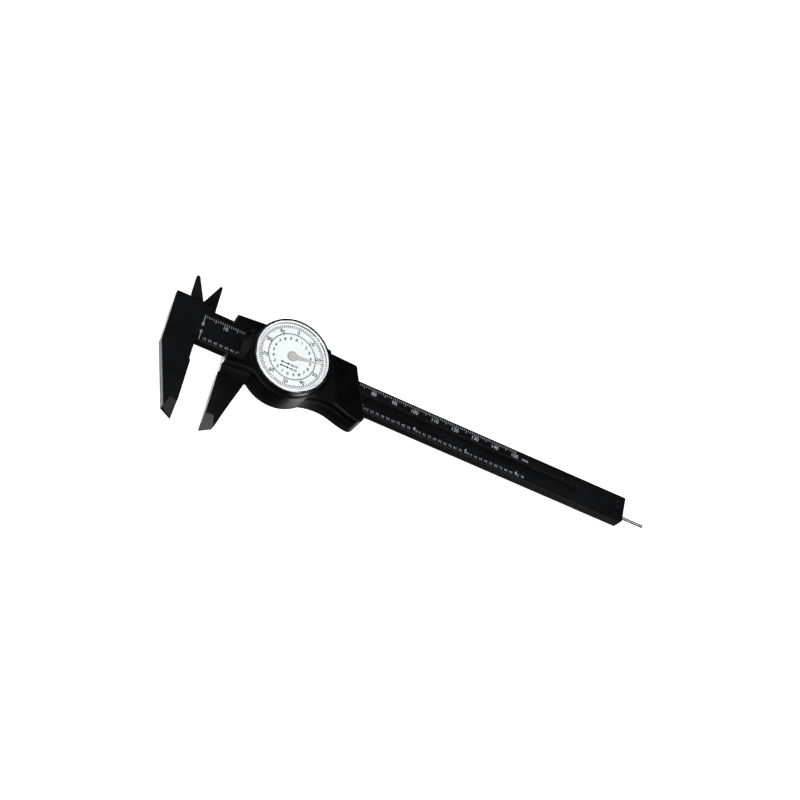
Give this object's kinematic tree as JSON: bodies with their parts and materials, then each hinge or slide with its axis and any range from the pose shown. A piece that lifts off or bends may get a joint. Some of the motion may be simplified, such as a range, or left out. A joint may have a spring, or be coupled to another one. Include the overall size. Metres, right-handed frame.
{
  "type": "dial caliper",
  "caption": "Dial caliper with moulded black body, fixed and sliding outside and inside jaws, round dial with one hand, thumb grip and depth rod.",
  "frame": {"origin": "centre of the fixed outside jaw's flat measuring face, in the middle of the jaw's thickness", "axes": "+X along the beam in the opening direction, +Y across the beam towards the inside jaws, +Z out of the dial"},
  "size_m": [0.2341, 0.0675, 0.0176],
  "materials": {
    "body_plastic": "fine satin texture",
    "rack_plastic": "satin",
    "bezel_plastic": "semi-gloss",
    "knob_plastic": "satin",
    "clear_plastic": "clear moulded",
    "dial_paint": "matt white print ground",
    "hand_paint": "matt",
    "bronze": "drawn strip",
    "brass": "turned",
    "rod_steel": "drawn",
    "pin_steel": "ground",
    "screw_steel": "turned",
    "arbor_steel": "polished",
    "spring_steel": "blued"
  },
  "bodies": {
    "beam": {"beam": "body_plastic", "rack_strip": "rack_plastic", "end_stop_pins": "pin_steel"},
    "carriage": {"moving_jaw_plate": "body_plastic", "front_housing": "body_plastic", "rear_cover": "body_plastic", "cover_screws": "screw_steel", "gib_strip": "bronze", "depth_rod": "rod_steel", "rod_anchor": "brass", "movement_bridge": "brass", "bridge_screws": "screw_steel", "lower_bushes": "brass", "upper_bushes": "brass", "bezel_retainer": "spring_steel"},
    "bezel": {"bezel_ring": "bezel_plastic", "dial_plate": "dial_paint", "crystal": "clear_plastic"},
    "hand_shaft": {"centre_arbor": "arbor_steel", "hand": "hand_paint", "hand_boss": "hand_paint"},
    "drive_shaft": {"drive_arbor": "arbor_steel", "drive_gear": "brass", "backlash_gear": "brass", "backlash_spring": "spring_steel"},
    "lock": {"lock_screw": "knob_plastic"}
  },
  "joints": [
    {"name": "jaw_slide", "type": "slide", "parent": "beam", "child": "carriage", "axis": [1, 0, 0], "range_m": [-0.01245, 0.13755]},
    {"name": "bezel_turn", "type": "hinge", "parent": "carriage", "child": "bezel", "pos_m": [0.03925, 0.0256, 0.0084], "axis": [0, 0, 1], "continuous": true},
    {"name": "drive_turn", "type": "hinge", "parent": "carriage", "child": "drive_shaft", "pos_m": [0.03205, 0.02536, 0.003], "axis": [0, 0, 1], "range_deg": [-449, 4953]},
    {"name": "hand_turn", "type": "hinge", "parent": "carriage", "child": "hand_shaft", "pos_m": [0.03925, 0.0256, 0.006], "axis": [0, 0, 1], "range_deg": [-24765, 2245]},
    {"name": "lock_turn", "type": "hinge", "parent": "carriage", "child": "lock", "pos_m": [0.0562, 0.0376, 0], "axis": [0, 1, 0], "range_deg": [0, 360]}
  ],
  "couplings": [
    {"joint": "drive_turn", "follows": "jaw_slide", "rad_per_m": 628.32},
    {"joint": "hand_turn", "follows": "jaw_slide", "rad_per_m": -3141.6}
  ]
}
